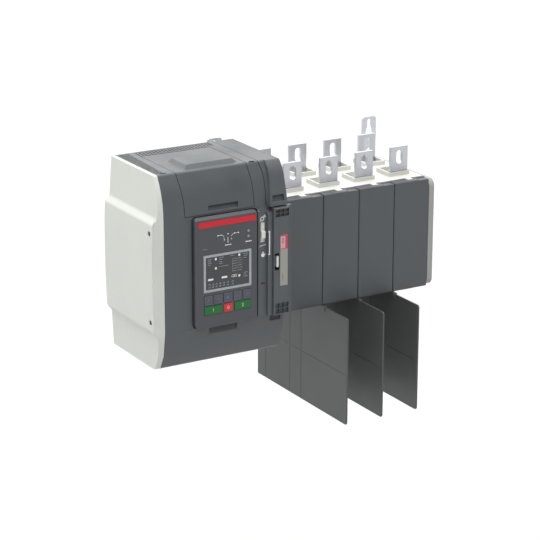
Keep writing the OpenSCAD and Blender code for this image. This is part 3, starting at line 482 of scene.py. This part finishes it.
def screen():
    lo, hi = box_mm("hmi_window")
    rim, y = 3.6, lo[1]
    outer = round_rect(lo[0], hi[0], lo[2], hi[2], 0.8)
    inner = round_rect(lo[0] + rim, hi[0] - rim, lo[2] + rim, hi[2] - rim, 0.4)
    piece("screen_border", "control_panel", INK_GREY,
          lambda tool: add_ring(tool, outer, inner, y - 0.2, y + INK_IN), 0.05)
    width, height = hi[0] - lo[0], hi[2] - lo[2]

    def at(u, v):
        return lo[0] + u * width, hi[2] - v * height

    rng = random.Random(7)
    marks = []

    def line_of(u, v, total, tall=1.0):
        """A row of short dashes that reads as a small generic legend."""
        x, z = at(u, v)
        end = x + total
        while x < end - 0.6:
            dash = min(rng.uniform(0.9, 2.6), end - x)
            marks.append(rect(x, x + dash, z - tall / 2, z + tall / 2))
            x += dash + 0.5

    for u, v, total in ((0.09, 0.12, 6), (0.09, 0.17, 5), (0.09, 0.22, 6), (0.09, 0.27, 4),
                        (0.33, 0.11, 7), (0.33, 0.16, 5), (0.33, 0.22, 4), (0.33, 0.27, 5),
                        (0.56, 0.11, 6), (0.83, 0.11, 8), (0.84, 0.16, 6), (0.84, 0.22, 5),
                        (0.84, 0.62, 7), (0.84, 0.67, 5), (0.84, 0.72, 6)):
        line_of(u, v, total)
    for row in range(6):
        v = 0.20 + row * 0.065
        line_of(0.60, v, 7, 0.8)
        line_of(0.72, v, 5, 0.8)
    for u in (0.10, 0.17, 0.24, 0.32, 0.40, 0.48, 0.58):
        for v in (0.80, 0.87):
            x, z = at(u, v)
            marks.append(stroke(x, z - 1.2, x + 1.8, z + 1.2, 0.55))
            marks.append(rect(x + 2.2, x + 3.1, z - 1.2, z + 1.2))
    for u in (0.60, 0.70, 0.80):
        x, z = at(u, 0.19)
        marks.append(rect(x - 0.15, x + 0.15, z - 20, z))
    x, z = at(0.32, 0.35)
    marks.append(rect(x, x + 16, z - 0.3, z + 0.3))
    prints("screen_legends", "control_panel", INK_SCREEN, marks, y, 0.06)
    bright = []
    for u, v in ((0.255, 0.13), (0.255, 0.38), (0.745, 0.12), (0.745, 0.68)):
        x, z = at(u, v)
        bright.append(round_rect(x - 1.5, x + 1.5, z - 1.7, z + 1.7, 0.7, 3))
    for u, v, long in ((0.09, 0.665, 8.5), (0.375, 0.655, 9.0)):
        x, z = at(u, v)
        bright.append(rect(x, x + long, z - 1.4, z + 1.4))
    x, z = at(0.585, 0.66)
    bright += [rect(x, x + 8.5, z + 1.3, z + 1.8), rect(x, x + 8.5, z - 1.8, z - 1.3),
               rect(x, x + 0.5, z - 1.3, z + 1.3), rect(x + 8, x + 8.5, z - 1.3, z + 1.3),
               rect(x + 2.6, x + 5.8, z - 0.4, z + 0.4)]
    prints("screen_marks", "control_panel", INK_WHITE, bright, y, 0.08)


def panel_prints():
    y = box_mm("hmi_case")[0][1]
    white, thin = [], 0.55
    mid = -295.5
    for x, z in ((-311.8, 89.9), (-284.6, 90.1), (-278.3, 89.9), (mid, 90.4)):
        white.append(disc(x, z, 1.0, 14))
    for x, z in ((-301.4, 82.1), (-289.7, 82.4), (mid, 84.6), (mid, 78.4)):
        white.append(disc(x, z, 0.8, 12))
    white += [stroke(-310.6, 89.9, -308.2, 89.9, thin), stroke(-283.4, 90.1, -279.5, 90.0, thin),
              stroke(mid, 84.6, mid, 78.4, 0.8), stroke(-290.4, 86.4, -286.0, 90.0, thin),
              stroke(-305.6, 89.9, -302.6, 88.2, thin)]
    white += [round_rect(-300.4 + i * 2.7, -298.3 + i * 2.7, 73.4, 74.9, 0.5, 2) for i in range(4)]
    white += [round_rect(-266.6 + i * 2.6, -264.6 + i * 2.6, 73.6, 75.2, 0.5, 2) for i in range(4)]
    prints("mimic_white", "control_panel", INK_WHITE, white, y, 0.1)
    prints("mimic_green", "control_panel", INK_PALE_GREEN,
           [disc(-307.0, 89.9, 1.15, 14), stroke(-302.6, 88.2, -301.6, 83.2, thin)], y, 0.1)
    prints("panel_legends", "control_panel", INK_GREY,
           [rect(-336.5 + i * 2.6, -334.6 + i * 2.6, 72.4, 73.0) for i in range(3)], y, 0.08)
    for name, z in (("lamp_upper", 90.2), ("lamp_lower", 82.2)):
        piece(name, "control_panel", LENS_DIM,
              lambda tool, z=z: add_prism(tool, disc(-261.8, z, 1.9), y - 0.5, y + 0.3), 0.3, 2)


def digit_piece(text, key, size):
    """Generic numeral printed on a key."""
    lo, hi = box_mm(key)
    curve = bpy.data.curves.new("numeral", "FONT")
    curve.body, curve.size = text, mm(size)
    curve.align_x, curve.align_y = "CENTER", "CENTER"
    curve.extrude, curve.offset = mm(0.06), mm(0.03)
    curve.resolution_u = 4
    obj = bpy.data.objects.new("numeral", curve)
    bpy.context.scene.collection.objects.link(obj)
    obj.location = (mm((lo[0] + hi[0]) / 2), mm(lo[1] - 0.02), mm((lo[2] + hi[2]) / 2))
    obj.rotation_euler = (math.pi / 2, 0, 0)
    bpy.context.view_layer.update()
    mesh = bpy.data.meshes.new_from_object(obj.evaluated_get(bpy.context.evaluated_depsgraph_get()))
    mesh.transform(obj.matrix_world)
    bpy.data.objects.remove(obj)
    name = "numeral_" + text
    mesh.name = name
    made = bpy.data.objects.new(name, mesh)
    bpy.context.scene.collection.objects.link(made)
    mesh.materials.clear()
    mesh.materials.append(INK_PALE)
    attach(made, body_of[key])


def key_prints():
    for text, key in (("1", "key_source_1"), ("0", "key_off"), ("2", "key_source_2")):
        digit_piece(text, key, 7.2)
    margin, line, out = 1.3, 0.5, 0.08
    for k in range(1, 6):
        key = f"soft_key_{k}"
        lo, hi = box_mm(key)
        x0, x1, z0, z1 = lo[0] + margin, hi[0] - margin, lo[2] + margin, hi[2] - margin
        outer = round_rect(x0, x1, z0, z1, 1.0)
        inner = round_rect(x0 + line, x1 - line, z0 + line, z1 - line, 0.7)
        cx, cz = (x0 + x1) / 2, (z0 + z1) / 2
        symbols = {
            1: [stroke(cx - 2.4, cz, cx + 2.4, cz, 0.7), stroke(cx, cz - 2.4, cx, cz + 2.4, 0.7)],
            2: [stroke(cx - 2.2, cz + 1.2, cx, cz - 1.4, 0.7), stroke(cx, cz - 1.4, cx + 2.2, cz + 1.2, 0.7)],
            3: [disc(cx, cz, 2.0, 16)],
            4: [stroke(cx - 2.2, cz - 1.2, cx, cz + 1.4, 0.7), stroke(cx, cz + 1.4, cx + 2.2, cz - 1.2, 0.7)],
            5: [stroke(cx - 2.3, cz, cx + 2.3, cz, 0.7), stroke(cx - 2.3, cz, cx - 0.6, cz + 1.7, 0.7),
                stroke(cx + 2.3, cz, cx + 2.3, cz + 2.4, 0.7)],
        }[k]

        def build(tool, outer=outer, inner=inner, symbols=symbols, y=lo[1]):
            add_ring(tool, outer, inner, y - out, y + INK_IN)
            for outline in symbols:
                add_prism(tool, outline, y - out, y + INK_IN)

        piece(f"key_print_{k}", body_of[key], INK_BLUE, build)


def gap_shade():
    """Dark ring inside the gap round the panel: its dark colour is painted shade for the gap, and it also
    shuts out light from behind.
    """
    lo, hi = box_mm("hmi_case")
    front, right = box_mm("front_cover")[0][1], box_mm("selector_bezel")[0][0]
    outer = round_rect(lo[0] - 1.1, right + 0.4, lo[2] - 1.1, hi[2] + 1.1, 6.0, 8)
    inner = round_rect(lo[0] - 0.3, hi[0] + 0.3, lo[2] - 0.3, hi[2] + 0.3, 6.0, 8)
    piece("panel_gap_shade", "frame", GAP_SHADE,
          lambda tool: add_ring(tool, outer, inner, front + 0.8, front + 4.2), 0.1)


# ---- Selector, label and cover detail ----

def selector_prints():
    """Symbols on the selector's column, and the bracket on the raised column beside it."""
    slider_lo, slider_hi = box_mm("selector_slider")
    x = (slider_lo[0] + slider_hi[0]) / 2
    raised, step = box_mm("selector_bezel")[0][1], 4.0
    y = raised + step
    cx, cz = x - 1.2, 103.2
    ring_out, ring_in = disc(cx, cz, 3.5, 24), disc(cx, cz, 1.7, 24)

    def lock(tool):
        add_ring(tool, ring_out, ring_in, y - INK_OUT, y + INK_IN)
        for outline in (stroke(cx + 2.0, cz + 2.6, cx + 4.9, cz + 5.2, 2.4),
                        stroke(cx - 2.6, cz - 2.0, cx - 3.4, cz - 4.0, 1.2),
                        rect(cx + 3.4, cx + 5.8, cz + 1.6, cz + 3.4)):
            add_prism(tool, outline, y - INK_OUT, y + INK_IN)

    piece("lock_symbol", "frame", INK_PALE, lock)
    marks = [stroke(x - 5.0, 61.6, x - 3.6, 63.0, 1.5), stroke(x - 3.2, 62.6, x - 0.6, 63.8, 1.4),
             stroke(x - 0.2, 63.4, x + 2.2, 63.4, 1.4), stroke(x + 2.6, 63.2, x + 5.0, 64.2, 1.3)]
    prints("selector_marks", "frame", INK_PALE, marks, y)
    padlock = [disc(x + 0.2, 48.7, 3.1, 24), round_rect(x - 1.2, x + 1.5, 50.6, 53.6, 0.9, 3)]
    prints("padlock_mark", "frame", INK_WHITE,
           padlock + [rect(x + 4.1, x + 5.5, 49.2, 50.2), rect(x + 3.6, x + 5.2, 81.6, 82.6)], y)
    left, low, high = -228.1, 48.8, 84.5
    line, tick = 1.6, 1.2
    bracket = [rect(left, left + line, low, high), rect(left - tick, left, low, low + line),
               rect(left - tick, left, high - line, high)]
    prints("selector_bracket", "frame", INK_WHITE, bracket, raised)


def label_prints():
    lo, hi = box_mm("label_strip")
    y = lo[1]
    split = 55.3
    red = [rect(lo[0] + 0.15, hi[0] - 0.15, split, hi[2] - 0.15)]
    prints("label_red", "frame", INK_RED, red, y, 0.03)
    pink = [rect(lo[0] + 0.4, hi[0] - 4.2, split + 1.2, hi[2] - 2.2)]
    prints("label_pink", "frame", INK_PINK, pink, y, 0.06)
    cx, cz = lo[0] + 4.4, 68.0
    oval, hole = ellipse(cx, cz, 1.9, 4.2), ellipse(cx, cz, 0.9, 3.0)
    piece("label_oval", "frame", INK_DARK,
          lambda tool: add_ring(tool, oval, hole, y - 0.09, y - 0.05))
    prints("label_mark", "frame", INK_DARK,
           [round_rect(cx - 0.9, cx - 0.1, 9.0, 18.0, 0.3, 2), rect(cx - 0.9, cx + 1.4, 13.0, 13.8)], y, 0.06)


def main():
    make_camera()
    make_stage()
    finish_nodes()
    screen()
    panel_prints()
    key_prints()
    gap_shade()
    selector_prints()
    label_prints()
    bpy.context.view_layer.update()


main()
